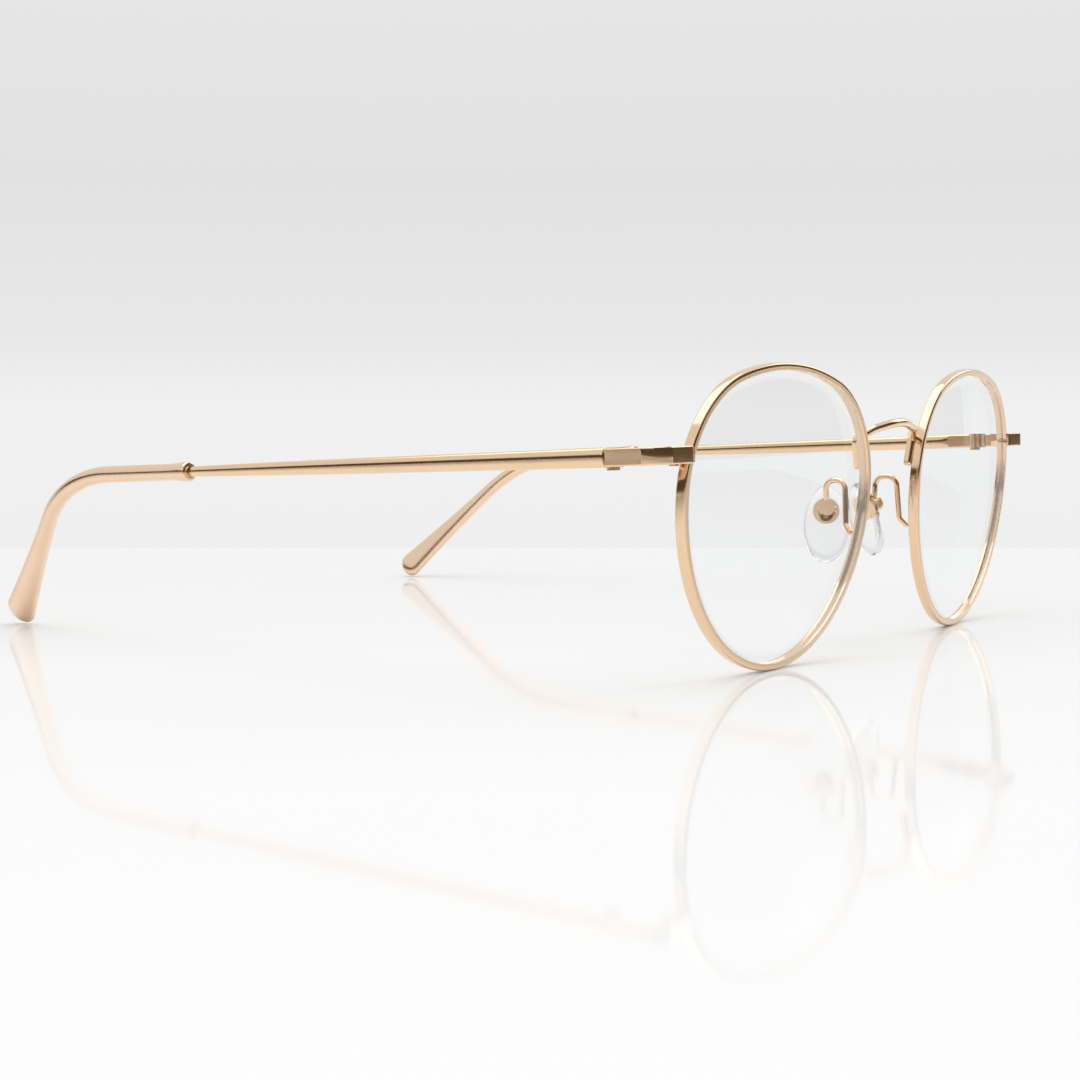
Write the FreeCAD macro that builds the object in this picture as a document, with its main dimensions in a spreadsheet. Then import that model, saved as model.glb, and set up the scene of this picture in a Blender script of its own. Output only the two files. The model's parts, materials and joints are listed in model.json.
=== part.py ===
import FreeCAD, Part
import math
import os
import Sketcher
from FreeCAD import Placement, Rotation, Vector

# A pair of thin metal spectacles standing open on a table: two eye-wires with lenses,
# a wire bridge, nose pads on gooseneck arms, and two hinged temples with sleeved tips.
#
# Frame: millimetres, +Z up, the front faces -Y, the temples run to +Y.
# The wearer's right is -X. A side is -1 for right and +1 for left.
# The origin is on the table, under the middle of the whole pair.

doc = FreeCAD.newDocument("spectacles")

# ----------------------------------------------------------------- driving sizes
SIZES = (
    # the eye shape, along the middle of the eye-wire
    ("eye_width", 50.5),
    ("widest_height", 26.0),       # from the bottom of the eye shape up to its widest place
    ("brow_height", 18.2),         # from there up to its top
    ("corner_share", 0.93),        # the corners' radius as a share of the brow height
    ("eye_turn", 0.8),             # degrees: the bottom of the eye leans to the temple
    # the eye-wire
    ("wire_width", 1.05),
    ("wire_depth", 1.7),
    ("wire_chamfer", 0.22),
    ("groove_half", 0.42),
    ("groove_depth", 0.42),
    ("rim_split", 0.14),
    # the lens
    ("lens_thickness", 1.7),
    ("lens_radius", 120.0),
    ("lens_rise", 3.4),            # from the eye-wire's middle plane forward to the lens's front
    ("lens_gap", 0.04),
    # how the front is set up
    ("nose_width", 19.5),          # between the two eye shapes
    ("wrap_angle", 4.7),
    ("lean_angle", 3.4),
    ("solder_offset", 0.4),        # from the eye-wire's middle line to what is soldered behind it
    # the bridge
    ("bridge_radius", 0.7),
    ("foot_rise", 8.0),            # from the widest place up to where the feet end
    ("arch_rise", 2.6),            # from there up to the middle of the arch
    ("arch_radius", 16.0),
    ("shoulder_share", 0.72),      # where the arch meets its shoulders, as a share of the feet's spread
    ("shoulder_rise", 1.33),       # the shoulders stand this much above the feet's ends
    ("shoulder_bend", 3.4),
    ("foot_bend", 0.85),
    ("foot_seat", 0.105),          # how far the feet are let into the wires' backs
    ("bridge_reach", 3.4),         # how far the arch stands forward of the front's datum
    ("foot_length", 4.6),
    # the hinge: its axis is the fold's axis
    ("hinge_out", 5.6),            # from the eye shape's side out to the hinge
    ("hinge_back", 8.0),
    ("hinge_rise", 5.95),          # from the widest place up to the hinge
    ("slope_angle", 2.57),         # how far the temples drop towards the ears
    ("hinge_stack", 2.6),
    ("knuckle_radius", 1.05),
    ("middle_knuckle", 1.0),
    ("knuckle_gap", 0.05),
    ("leaf_thickness", 0.65),
    ("leaf_height", 2.1),
    ("leaf_length", 5.7),          # from the hinge axis to a leaf's far end
    ("leaf_clearance", 0.14),      # from a knuckle's wall out to the other leaf
    ("pin_radius", 0.55),
    ("pin_clearance", 0.03),
    ("hinge_head_radius", 0.95),
    ("hinge_head_height", 0.45),
    ("seam_gap", 0.12),
    # the end piece
    ("bar_height", 2.45),
    ("bar_edge", 0.3),
    ("bar_bend", 2.4),
    ("bar_front", 8.5),            # from the hinge axis forward to the middle of the bar
    ("bar_cover", 0.35),           # how far the bar laps over the rim
    # the rim lock
    ("lock_bite", 0.6),            # how far the blocks reach past the rim's outer side
    ("lock_height", 1.1),
    ("lock_width", 3.1),
    ("lock_depth", 2.1),
    ("lock_screw_radius", 0.42),
    ("lock_head_radius", 0.7),
    ("lock_head_height", 0.3),
    # the temple
    ("temple_length", 77.0),       # from the hinge axis to the mouth of the sleeve
    ("temple_height", 2.75),
    ("temple_thickness", 1.5),
    ("leaf_flat_depth", 0.1),
    ("knuckle_room", 0.2),         # between the knuckles and the bars
    ("temple_mid", 36.0),
    ("temple_mid_height", 2.4),
    ("temple_end_width", 1.45),
    ("temple_end_height", 1.6),
    ("core_radius", 0.55),
    ("core_end", 12.0),            # how far the core wire stops short of the tip's end
    # the tip
    ("tip_lead", 17.8),            # from the sleeve's mouth to where its bend begins
    ("tip_bend", 26.0),
    ("tip_tail", 26.85),           # from the bend to the tip's end
    ("tip_mouth_length", 1.1),
    ("tip_mouth_taper", 3.0),      # from there to where the mouth's cone sinks into the neck
    ("tip_mouth_sink", 0.135),
    ("tip_ledge", 0.03),           # the small step where the paddle starts on the neck
    ("tip_flare_power", 1.35),     # above one, the paddle widens late
    ("tip_neck_end", 3.0),         # how far the round neck runs on past the bend
    ("tip_angle", 46.5),
    ("tip_roll", 25.5),            # degrees: how far the bend leans in towards the head
    ("tip_mouth_radius", 1.6),
    ("tip_neck_radius", 1.35),
    ("tip_paddle_width", 5.8),
    ("tip_paddle_thickness", 2.8),
    ("tip_end_rounding", 1.2),
    ("bore_clearance", 0.05),
    # the nose pads
    ("pad_in", 0.75),              # from the eye shape's nose side in to the pad screw
    ("pad_back", 3.3),
    ("pad_fall", 3.6),             # from the widest place down to the pad screw
    ("pad_splay", 28.0),           # degrees: the rear edges stand further apart
    ("pad_frontal", 16.0),         # degrees: the lower ends stand further apart
    ("pad_height", 12.6),
    ("pad_width", 7.0),
    ("pad_thickness", 2.0),
    ("pad_drop", 1.9),             # from the screw's axis down to the middle of the pad
    ("pad_edge", 0.7),
    ("core_disc_radius", 2.1),
    ("core_disc_thickness", 0.6),
    ("tab_thickness", 0.8),
    ("tab_width", 1.3),
    ("tab_clearance", 0.05),
    ("box_radius", 1.25),
    ("box_length", 1.7),
    ("box_gap", 0.4),              # from the box to the disc, which lets the pad rock
    ("pad_pin_radius", 0.35),
    ("pad_head_radius", 0.55),
    ("pad_head_height", 0.25),
    ("arm_radius", 0.45),
    ("arm_seat", 0.135),           # how far the arm is let into the wire's back
    ("arm_start", 1.35),           # how far it runs back and up before it turns upward
    ("arm_start_bend", 0.9),
    ("arm_loop_share", 0.46),      # the loop's bends as a share of its span
    ("arm_rise", 4.7),             # from the pad screw up to the gooseneck's top
    ("arm_fall", 3.2),             # from the pad screw down to where the arm leaves the rim
)


class Size:
    """A number together with the sheet formula that gives it."""

    def __init__(self, value, formula):
        self.value = float(value)
        self.formula = formula

    def _join(self, sign, other, value):
        text = other.formula if isinstance(other, Size) else repr(other)
        return Size(value, "(%s %s %s)" % (self.formula, sign, text))

    def __add__(self, other):
        return self._join("+", other, self.value + number(other))

    def __sub__(self, other):
        return self._join("-", other, self.value - number(other))

    def __mul__(self, other):
        return self._join("*", other, self.value * number(other))

    def __truediv__(self, other):
        return self._join("/", other, self.value / number(other))

    def __rmul__(self, other):
        return self * other

    def __neg__(self):
        return self * -1


def number(size):
    """The plain number of a size, or of a number itself."""
    return size.value if isinstance(size, Size) else float(size)


sheet = doc.addObject("Spreadsheet::Sheet", "Sizes")
for row, (alias, value) in enumerate(SIZES, start=1):
    sheet.set("A%d" % row, alias)
    sheet.set("B%d" % row, str(value))
    sheet.setAlias("B%d" % row, alias)
doc.recompute()
size = {alias: Size(value, "Sizes." + alias) for alias, value in SIZES}
ZERO = Size(0, "0")

# sizes that follow from the driving ones
size["eye_height"] = size["widest_height"] + size["brow_height"]
size["corner_radius"] = size["brow_height"] * size["corner_share"]
size["bottom_radius"] = size["eye_width"] * size["eye_width"] / size["widest_height"] / 4
size["eye_spacing"] = size["eye_width"] + size["nose_width"]
size["hinge_x"] = size["eye_width"] + size["nose_width"] / 2 + size["hinge_out"]
size["hinge_z"] = size["widest_height"] + size["hinge_rise"]
size["bar_thickness"] = size["temple_thickness"] - size["leaf_flat_depth"] * 2
size["bar_offset"] = size["knuckle_radius"] + size["knuckle_room"] + size["bar_thickness"] / 2
rim_drop = size["hinge_rise"] * size["hinge_rise"] / size["corner_radius"] / 2
rim_reach = size["hinge_out"] + rim_drop - size["wire_width"] / 2
size["bar_reach"] = rim_reach + size["bar_cover"]
size["lock_reach"] = rim_reach + size["lock_bite"]
size["foot_top"] = size["widest_height"] + size["foot_rise"]
size["bridge_rise"] = size["foot_top"] + size["arch_rise"]
size["pad_x"] = size["nose_width"] / 2 - size["pad_in"]
size["pad_z"] = size["widest_height"] - size["pad_fall"]
size["arm_loop"] = size["pad_z"] + size["arm_rise"]
size["arm_foot"] = size["pad_z"] - size["arm_fall"]


# ----------------------------------------------------------------- modelling helpers
def new_body(name):
    return doc.addObject("PartDesign::Body", name)


def sketch_on(body, name, role, offset=None):
    """A sketch on one of the body's origin planes, moved or turned by an offset from it."""
    sketch = body.newObject("Sketcher::SketchObject", name)
    plane = [feature for feature in body.Origin.OriginFeatures if feature.Role == role][0]
    sketch.AttachmentSupport = [(plane, "")]
    sketch.MapMode = "FlatFace"
    if offset is not None:
        sketch.AttachmentOffset = offset
    return sketch


def bind(sketch, size_, kind, *where):
    """A dimension whose value follows the sheet."""
    index = sketch.addConstraint(Sketcher.Constraint(kind, *where, size_.value))
    sketch.setExpression("Constraints[%d]" % index, size_.formula)


def pin_point(sketch, geometry, point, place):
    """Holds a point at two sizes from the sketch's origin."""
    for kind, axis, size_ in (("DistanceX", -2, place[0]), ("DistanceY", -1, place[1])):
        if size_.formula == ZERO.formula:
            sketch.addConstraint(Sketcher.Constraint("PointOnObject", geometry, point, axis))
        else:
            bind(sketch, size_, kind, -1, 1, geometry, point)


def corner(place):
    return Vector(number(place[0]), number(place[1]), 0)


def polygon(sketch, corners):
    """A closed outline of straight sides."""
    first = sketch.GeometryCount
    count = len(corners)
    for index, start in enumerate(corners):
        end = corners[(index + 1) % count]
        sketch.addGeometry(Part.LineSegment(corner(start), corner(end)), False)
    for index, start in enumerate(corners):
        following = first + (index + 1) % count
        sketch.addConstraint(Sketcher.Constraint("Coincident", first + index, 2, following, 1))
        pin_point(sketch, first + index, 1, start)


def rectangle(sketch, low, high):
    polygon(sketch, ((low[0], low[1]), (high[0], low[1]), (high[0], high[1]), (low[0], high[1])))


def circle(sketch, centre, radius):
    index = sketch.addGeometry(Part.Circle(corner(centre), Vector(0, 0, 1), radius.value), False)
    pin_point(sketch, index, 3, centre)
    bind(sketch, radius, "Radius", index)


def ellipse(sketch, centre, half_width, half_height):
    """An ellipse whose long axis stands up the sketch, held by its two axes."""
    top = corner((centre[0], centre[1] + half_height))
    side = corner((centre[0] + half_width, centre[1]))
    index = sketch.addGeometry(Part.Ellipse(top, side, corner(centre)), False)
    pin_point(sketch, index, 3, centre)
    sketch.exposeInternalGeometry(index)
    bind(sketch, half_height * 2, "Distance", index + 1)
    bind(sketch, half_width * 2, "Distance", index + 2)
    sketch.addConstraint(Sketcher.Constraint("Vertical", index + 1))


def pad(body, sketch, length, both_ways=True):
    feature = body.newObject("PartDesign::Pad", sketch.Name + "_pad")
    feature.Profile = sketch
    feature.setExpression("Length", length.formula)
    feature.Midplane = both_ways
    return feature


def pocket(body, sketch, length, both_ways=True):
    """Cuts a sketch out of the body, and makes sure that something was cut."""
    doc.recompute()
    before = body.Shape.Volume
    feature = body.newObject("PartDesign::Pocket", sketch.Name + "_cut")
    feature.Profile = sketch
    feature.setExpression("Length", length.formula)
    feature.Midplane = both_ways
    doc.recompute()
    assert body.Shape.Volume < before, sketch.Name
    return feature


def pipe(body, profile, spine):
    feature = body.newObject("PartDesign::AdditivePipe", profile.Name + "_pipe")
    feature.Profile = profile
    feature.Spine = spine
    return feature


# ----------------------------------------------------------------- where things stand
placed = []


def place(thing, placement):
    """Sets a piece in the standing pair, and notes it for the last shift to the origin."""
    thing.Placement = placement
    placed.append(thing)


def turned(axis, angle):
    return Placement(Vector(0, 0, 0), Rotation(axis, number(angle)))


X_AXIS = Vector(1, 0, 0)
Y_AXIS = Vector(0, 1, 0)
Z_AXIS = Vector(0, 0, 1)
front_lean = turned(X_AXIS, size["lean_angle"])
eye_centre = (size["eye_height"] + size["wire_width"]) / 2


def eye_place(side):
    """The middle of an eye shape: X to the left, Y backward, Z up the leaning front."""
    spacing = Placement(Vector(side * size["eye_spacing"].value / 2, 0, eye_centre.value), Rotation())
    wrap = turned(Z_AXIS, side * size["wrap_angle"].value)
    turn = turned(Y_AXIS, -side * size["eye_turn"].value)
    return front_lean * spacing * wrap * turn


def hinge_place(side):
    """The fold's axis is Z here, and the temple runs along Y."""
    axis = Vector(side * size["hinge_x"].value, size["hinge_back"].value, size["hinge_z"].value)
    return Placement(axis, Rotation(X_AXIS, -size["slope_angle"].value))


def pad_place(side):
    """The pad screw's axis is Y here, and the pad's face looks inward."""
    screw = Vector(side * size["pad_x"].value, size["pad_back"].value, size["pad_z"].value)
    splay = turned(Z_AXIS, -side * size["pad_splay"].value)
    frontal = turned(Y_AXIS, -side * size["pad_frontal"].value)
    return Placement(screw, Rotation()) * splay * frontal


# ----------------------------------------------------------------- the eye shape
def eye_outline(sketch, grow):
    """Six tangent arcs, the same left and right: top, corners, lower sides and bottom."""
    half_width = size["eye_width"] / 2 + grow
    top = size["eye_height"] / 2 + grow
    bottom = -(size["eye_height"] / 2) - grow
    widest = size["widest_height"] - size["eye_height"] / 2
    corner_radius = size["corner_radius"] + grow
    bottom_radius = size["bottom_radius"] + grow

    # the two radii that the others leave free, as a start for the sketch's solver
    rise = top.value - widest.value
    fall = widest.value - bottom.value
    reach = half_width.value - corner_radius.value
    top_radius = (reach ** 2 + rise ** 2 - corner_radius.value ** 2) / (2 * (rise - corner_radius.value))
    side_radius = half_width.value ** 2 + (fall - bottom_radius.value) ** 2 - bottom_radius.value ** 2
    side_radius /= 2 * (half_width.value - bottom_radius.value)

    def arc(x, y, radius, start, end):
        return Part.ArcOfCircle(Part.Circle(Vector(x, y, 0), Vector(0, 0, 1), radius), start, end)

    corner_x = half_width.value - corner_radius.value
    side_x = half_width.value - side_radius
    # the lower joint lies on the line through both centres, past the one of the smaller arc
    outward = math.copysign(1, side_radius - bottom_radius.value)
    joint = math.atan2(outward * (bottom_radius.value - fall), -outward * side_x)
    joint_up = math.atan2(widest.value - (top.value - top_radius), corner_x)
    sketch.addGeometry([
        arc(0, top.value - top_radius, top_radius, joint_up, math.pi - joint_up),
        arc(-corner_x, widest.value, corner_radius.value, math.pi - joint_up, math.pi),
        arc(-side_x, widest.value, side_radius, math.pi, math.pi - joint),
        arc(0, bottom.value + bottom_radius.value, bottom_radius.value, math.pi - joint, 2 * math.pi + joint),
        arc(side_x, widest.value, side_radius, joint, 0),
        arc(corner_x, widest.value, corner_radius.value, 0, joint_up),
    ], False)
    for index in range(6):
        following = (index + 1) % 6
        sketch.addConstraint(Sketcher.Constraint("Tangent", index, 2, following, 1))
    for index in (0, 3):
        sketch.addConstraint(Sketcher.Constraint("PointOnObject", index, 3, -2))
    sketch.addConstraint(Sketcher.Constraint("Equal", 1, 5))
    sketch.addConstraint(Sketcher.Constraint("Equal", 2, 4))
    sketch.addConstraint(Sketcher.Constraint("Horizontal", 1, 2, 1, 3))
    sketch.addConstraint(Sketcher.Constraint("Horizontal", 4, 2, 4, 3))
    bind(sketch, corner_radius, "Radius", 1)
    bind(sketch, bottom_radius, "Radius", 3)
    bind(sketch, half_width * 2, "DistanceX", 1, 2, 4, 2)
    bind(sketch, widest, "DistanceY", -1, 1, 4, 2)
    for index, height in ((0, top), (3, bottom)):
        crown = sketch.addGeometry(Part.Point(Vector(0, height.value, 0)), True)
        sketch.addConstraint(Sketcher.Constraint("PointOnObject", crown, 1, -2))
        sketch.addConstraint(Sketcher.Constraint("PointOnObject", crown, 1, index))
        bind(sketch, height, "DistanceY", -1, 1, crown, 1)


# ----------------------------------------------------------------- booleans and bent wires
def combined(kind, name, first, second):
    thing = doc.addObject(kind, name)
    if kind == "Part::Cut":
        thing.Base = first
        thing.Tool = second
    else:
        thing.Shapes = [first, second]
    return thing


def cut_by(name, base, *tools):
    """The base less each tool, where all of them stand."""
    for index, tool in enumerate(tools):
        last = index == len(tools) - 1
        base = combined("Part::Cut", name if last else "%s_less_%d" % (name, index), base, tool)
    return base


def box(name, placement, low, high):
    """A block between two corners, in the frame that the placement gives."""
    block = doc.addObject("Part::Box", name)
    for side_name, start, end in zip(("Length", "Width", "Height"), low, high):
        block.setExpression(side_name, (end - start).formula)
    place(block, placement * Placement(Vector(*[number(start) for start in low]), Rotation()))
    return block


def rod(name, placement, radius, low, high):
    """A cylinder up the Z axis of the frame that the placement gives."""
    cylinder = doc.addObject("Part::Cylinder", name)
    cylinder.setExpression("Radius", radius.formula)
    cylinder.setExpression("Height", (high - low).formula)
    place(cylinder, placement * Placement(Vector(0, 0, number(low)), Rotation()))
    return cylinder


def bent_path(corners, radii):
    """Straight runs joined by tangent arcs, with a radius for each corner between the ends."""
    edges = []
    start = corners[0]
    for index, radius in enumerate(radii, start=1):
        here = corners[index]
        back = (corners[index - 1] - here).normalize()
        onward = (corners[index + 1] - here).normalize()
        half_turn = (math.pi - back.getAngle(onward)) / 2
        tangent = radius * math.tan(half_turn)
        middle = (back + onward).normalize()
        arc_start = here + back * tangent
        arc_middle = here + middle * (radius / math.cos(half_turn) - radius)
        arc_end = here + onward * tangent
        edges.append(Part.LineSegment(start, arc_start).toShape())
        edges.append(Part.Arc(arc_start, arc_middle, arc_end).toShape())
        start = arc_end
    edges.append(Part.LineSegment(start, corners[-1]).toShape())
    return Part.Wire(edges)


def bent_wire(name, placement, radius, corners, radii):
    """A round wire along a path that leaves a plane, so no sketch can hold it."""
    path = bent_path(corners, radii)
    circle_edge = Part.Circle(corners[0], corners[1] - corners[0], number(radius)).toShape()
    wire = doc.addObject("Part::Feature", name)
    wire.Shape = path.makePipe(Part.Face(Part.Wire([circle_edge])))
    place(wire, placement)
    return wire


# ----------------------------------------------------------------- eye-wire and lens
def make_rim(side, end):
    """A wire with a V groove inside, swept round the eye shape and split at the rim lock."""
    wire = new_body("eye_wire" + end)
    path = sketch_on(wire, "eye_path" + end, "XZ_Plane")
    eye_outline(path, ZERO)
    section = sketch_on(wire, "wire_section" + end, "YZ_Plane")
    half = size["wire_depth"] / 2
    edge = size["wire_chamfer"]
    middle = size["eye_height"] / 2
    outer = middle + size["wire_width"] / 2
    inner = middle - size["wire_width"] / 2
    groove = size["groove_half"]
    polygon(section, (
        (-half, inner), (-groove, inner), (ZERO, inner + size["groove_depth"]), (groove, inner),
        (half, inner), (half, outer - edge), (half - edge, outer),
        (edge - half, outer), (-half, outer - edge),
    ))
    pipe(wire, section, path)
    place(wire, eye_place(side))

    bar_end = size["bar_reach"] * -side
    slot = box("rim_slot" + end, hinge_place(side),
               (bar_end - size["wire_depth"], -size["bar_front"] - size["wire_depth"],
                -size["rim_split"] / 2),
               (bar_end + size["wire_depth"], size["wire_depth"] - size["bar_front"], size["rim_split"] / 2))
    return cut_by("rim" + end, wire, slot), wire


def make_eye_inside(side, end):
    """All that lies inside the eye shape, from the wire's front face backwards."""
    inside = new_body("eye_inside" + end)
    depth = size["lock_depth"] * 4
    back = (depth - size["wire_depth"]) / 2
    outline = sketch_on(inside, "eye_inside_outline" + end, "XZ_Plane",
                        Placement(Vector(0, 0, -back.value), Rotation()))
    eye_outline(outline, ZERO)
    pad(inside, outline, depth)
    place(inside, eye_place(side))
    return inside


def dome(sketch, front, radius, reach, beyond):
    """The space in front of or behind a domed face, as half of its section."""
    rim_height = number(front) + number(radius) - math.sqrt(number(radius) ** 2 - number(reach) ** 2)
    centre = Vector(0, number(front) + number(radius), 0)
    start = -math.pi / 2
    sweep = math.asin(number(reach) / number(radius))
    arc_end = Vector(number(reach), rim_height, 0)
    far = Vector(number(reach), number(beyond), 0)
    axis_far = Vector(0, number(beyond), 0)
    axis_near = Vector(0, number(front), 0)
    face = Part.Circle(centre, Vector(0, 0, 1), number(radius))
    sketch.addGeometry(Part.ArcOfCircle(face, start, start + sweep), False)
    sketch.addGeometry(Part.LineSegment(arc_end, far), False)
    sketch.addGeometry(Part.LineSegment(far, axis_far), False)
    sketch.addGeometry(Part.LineSegment(axis_far, axis_near), False)
    for index in range(4):
        sketch.addConstraint(Sketcher.Constraint("Coincident", index, 2, (index + 1) % 4, 1))
    for index, kind in ((1, "Vertical"), (2, "Horizontal"), (3, "Vertical")):
        sketch.addConstraint(Sketcher.Constraint(kind, index))
    sketch.addConstraint(Sketcher.Constraint("PointOnObject", 0, 3, -2))
    sketch.addConstraint(Sketcher.Constraint("PointOnObject", 3, 1, -2))
    bind(sketch, radius, "Radius", 0)
    bind(sketch, front, "DistanceY", -1, 1, 3, 2)
    bind(sketch, beyond, "DistanceY", -1, 1, 2, 2)
    bind(sketch, reach, "DistanceX", -1, 1, 1, 1)


def groove_round(body, sketch):
    """Turns a sketch round the body's Y axis and cuts it away."""
    doc.recompute()
    before = body.Shape.Volume
    feature = body.newObject("PartDesign::Groove", sketch.Name + "_cut")
    feature.Profile = sketch
    feature.ReferenceAxis = (sketch, ["V_Axis"])
    feature.Angle = 360
    doc.recompute()
    assert body.Shape.Volume < before, sketch.Name
    return feature


def make_lens(side, end):
    """A meniscus cut to the eye shape, with a V bevel all round that sits in the groove."""
    lens = new_body("lens" + end)
    edge = -size["wire_width"] / 2 - size["lens_gap"]
    outline = sketch_on(lens, "lens_outline" + end, "XZ_Plane")
    eye_outline(outline, edge)
    pad(lens, outline, size["lens_rise"] * 4)
    beyond = size["lens_rise"] * 3
    reach = size["eye_width"] / 2 + size["wire_depth"]
    front = sketch_on(lens, "lens_front" + end, "XY_Plane")
    dome(front, -size["lens_rise"], size["lens_radius"], reach, -beyond)
    groove_round(lens, front)
    back = sketch_on(lens, "lens_back" + end, "XY_Plane")
    dome(back, size["lens_thickness"] - size["lens_rise"], size["lens_radius"] - size["lens_thickness"],
         reach, beyond)
    groove_round(lens, back)
    ridge = sketch_on(lens, "lens_bevel" + end, "YZ_Plane")
    root = size["eye_height"] / 2 + edge
    half = size["groove_half"] - size["lens_gap"]
    sunk = size["lens_gap"] * 2
    polygon(ridge, (
        (-half, root - sunk), (half, root - sunk), (half, root),
        (ZERO, root + size["groove_depth"] - size["lens_gap"]), (-half, root),
    ))
    path = sketch_on(lens, "lens_path" + end, "XZ_Plane")
    eye_outline(path, ZERO)
    pipe(lens, ridge, path)
    place(lens, eye_place(side))
    return lens


# ----------------------------------------------------------------- bridge
def nasal_point(height, back):
    """A solder point on the left eye-wire's nose side, at a height above its bottom.

    back is the distance behind the wire's middle plane, and the point stands solder_offset
    towards the nose, clear of the lens. It is in the front's own frame, before the front leans.
    """
    widest = size["widest_height"].value - size["eye_height"].value / 2
    radius = size["corner_radius"].value
    above = height - eye_centre.value - widest
    reach = size["eye_width"].value / 2 - radius + math.sqrt(radius ** 2 - above ** 2)
    reach += size["solder_offset"].value
    spot = eye_place(1).multVec(Vector(-reach, back, height - eye_centre.value))
    return front_lean.inverse().multVec(spot)


def mirrored(point):
    return Vector(-point.x, point.y, point.z)


def make_bridge(wires):
    """One round wire: up behind one rim, over the nose in an arch, and down behind the other."""
    radius = size["bridge_radius"].value
    back = size["wire_depth"].value / 2 + radius - size["foot_seat"].value
    foot_top = size["foot_top"].value
    low = nasal_point(foot_top - size["foot_length"].value, back)
    high = nasal_point(foot_top, back)
    shoulder = Vector(high.x * size["shoulder_share"].value, (high.y - size["bridge_reach"].value) / 2,
                      foot_top + size["shoulder_rise"].value)
    arch_radius = size["arch_radius"].value
    crown = Vector(0, -size["bridge_reach"].value, size["bridge_rise"].value)
    # the arch's corner stands above its crown by what the arc cuts off
    slope = math.atan2(crown.z - shoulder.z, shoulder.x)
    crown.z += arch_radius * (1 / math.cos(slope) - 1)
    corners = [low, high, shoulder, crown, mirrored(shoulder), mirrored(high), mirrored(low)]
    foot_bend = size["foot_bend"].value
    shoulder_bend = size["shoulder_bend"].value
    bends = (foot_bend, shoulder_bend, arch_radius, shoulder_bend, foot_bend)
    wire = bent_wire("bridge_wire", front_lean, radius, corners, bends)
    return cut_by("bridge", wire, *wires)


# ----------------------------------------------------------------- end piece and rim lock
def make_end_piece(side, end, wire, inside):
    """A flat bar across the rim's front, bent back along the temple's line to the seam."""
    bar = new_body("bar" + end)
    path = sketch_on(bar, "bar_path" + end, "XY_Plane")
    out = size["bar_offset"] * side
    tip = size["bar_reach"] * -side
    front = -size["bar_front"]
    seam = -size["seam_gap"] / 2
    radius = size["bar_bend"].value
    centre = Vector(number(out) - side * radius, number(front) + radius, 0)
    path.addGeometry(Part.LineSegment(corner((out, seam)), Vector(number(out), centre.y, 0)), False)
    start = -math.pi / 2 if side > 0 else math.pi
    turn = Part.Circle(centre, Vector(0, 0, 1), radius)
    path.addGeometry(Part.ArcOfCircle(turn, start, start + math.pi / 2), False)
    path.addGeometry(Part.LineSegment(Vector(centre.x, number(front), 0), corner((tip, front))), False)
    near, far = (2, 1) if side > 0 else (1, 2)
    path.addConstraint(Sketcher.Constraint("Tangent", 0, 2, 1, near))
    path.addConstraint(Sketcher.Constraint("Tangent", 1, far, 2, 1))
    path.addConstraint(Sketcher.Constraint("Vertical", 0))
    path.addConstraint(Sketcher.Constraint("Horizontal", 2))
    pin_point(path, 0, 1, (out, seam))
    pin_point(path, 2, 2, (tip, front))
    bind(path, size["bar_bend"], "Radius", 1)

    section = sketch_on(bar, "bar_section" + end, "XZ_Plane",
                        Placement(Vector(0, 0, -number(seam)), Rotation()))
    half = size["bar_thickness"] / 2
    tall = size["bar_height"] / 2
    edge = size["bar_edge"]
    outer, inner = out + half, out - half
    polygon(section, (
        (inner + edge, -tall), (outer - edge, -tall), (outer, edge - tall), (outer, tall - edge),
        (outer - edge, tall), (inner + edge, tall), (inner, tall - edge), (inner, edge - tall),
    ))
    pipe(bar, section, path)
    place(bar, hinge_place(side))
    return cut_by("end_piece" + end, bar, wire, inside)


def make_rim_lock(side, end, wire, inside):
    """Two blocks behind the end piece, one on each end of the split wire, and their screw."""
    inner = size["lock_reach"] * -side
    outer = (size["lock_reach"] - size["lock_width"]) * -side
    low_x, high_x = (inner, outer) if side > 0 else (outer, inner)
    front = size["bar_thickness"] / 2 - size["bar_front"]
    back = front + size["lock_depth"]
    gap = size["rim_split"] / 2
    top = gap + size["lock_height"]
    screw_x = (size["lock_width"] / 2 + size["wire_width"] / 2 - size["lock_reach"]) * side
    screw_at = Vector(number(screw_x), number((front + back) / 2), 0)
    screw_place = hinge_place(side) * Placement(screw_at, Rotation())

    shank = rod("lock_shank" + end, screw_place, size["lock_screw_radius"], -top, top)
    head = rod("lock_head" + end, screw_place, size["lock_head_radius"],
               -top - size["lock_head_height"], -top)
    screw = combined("Part::MultiFuse", "closing_screw" + end, shank, head)
    blocks = []
    for level, low, high in (("upper", gap, top), ("lower", -top, -gap)):
        blank = box("lock_blank_%s%s" % (level, end), hinge_place(side),
                    (low_x, front, low), (high_x, back, high))
        blocks.append(cut_by("closing_block_%s%s" % (level, end), blank, wire, inside, shank))
    return blocks + [screw]


# ----------------------------------------------------------------- hinge
def knuckle(body, name, radius, height):
    sketch = sketch_on(body, name, "XY_Plane")
    circle(sketch, (ZERO, ZERO), radius)
    pad(body, sketch, height)


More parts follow.
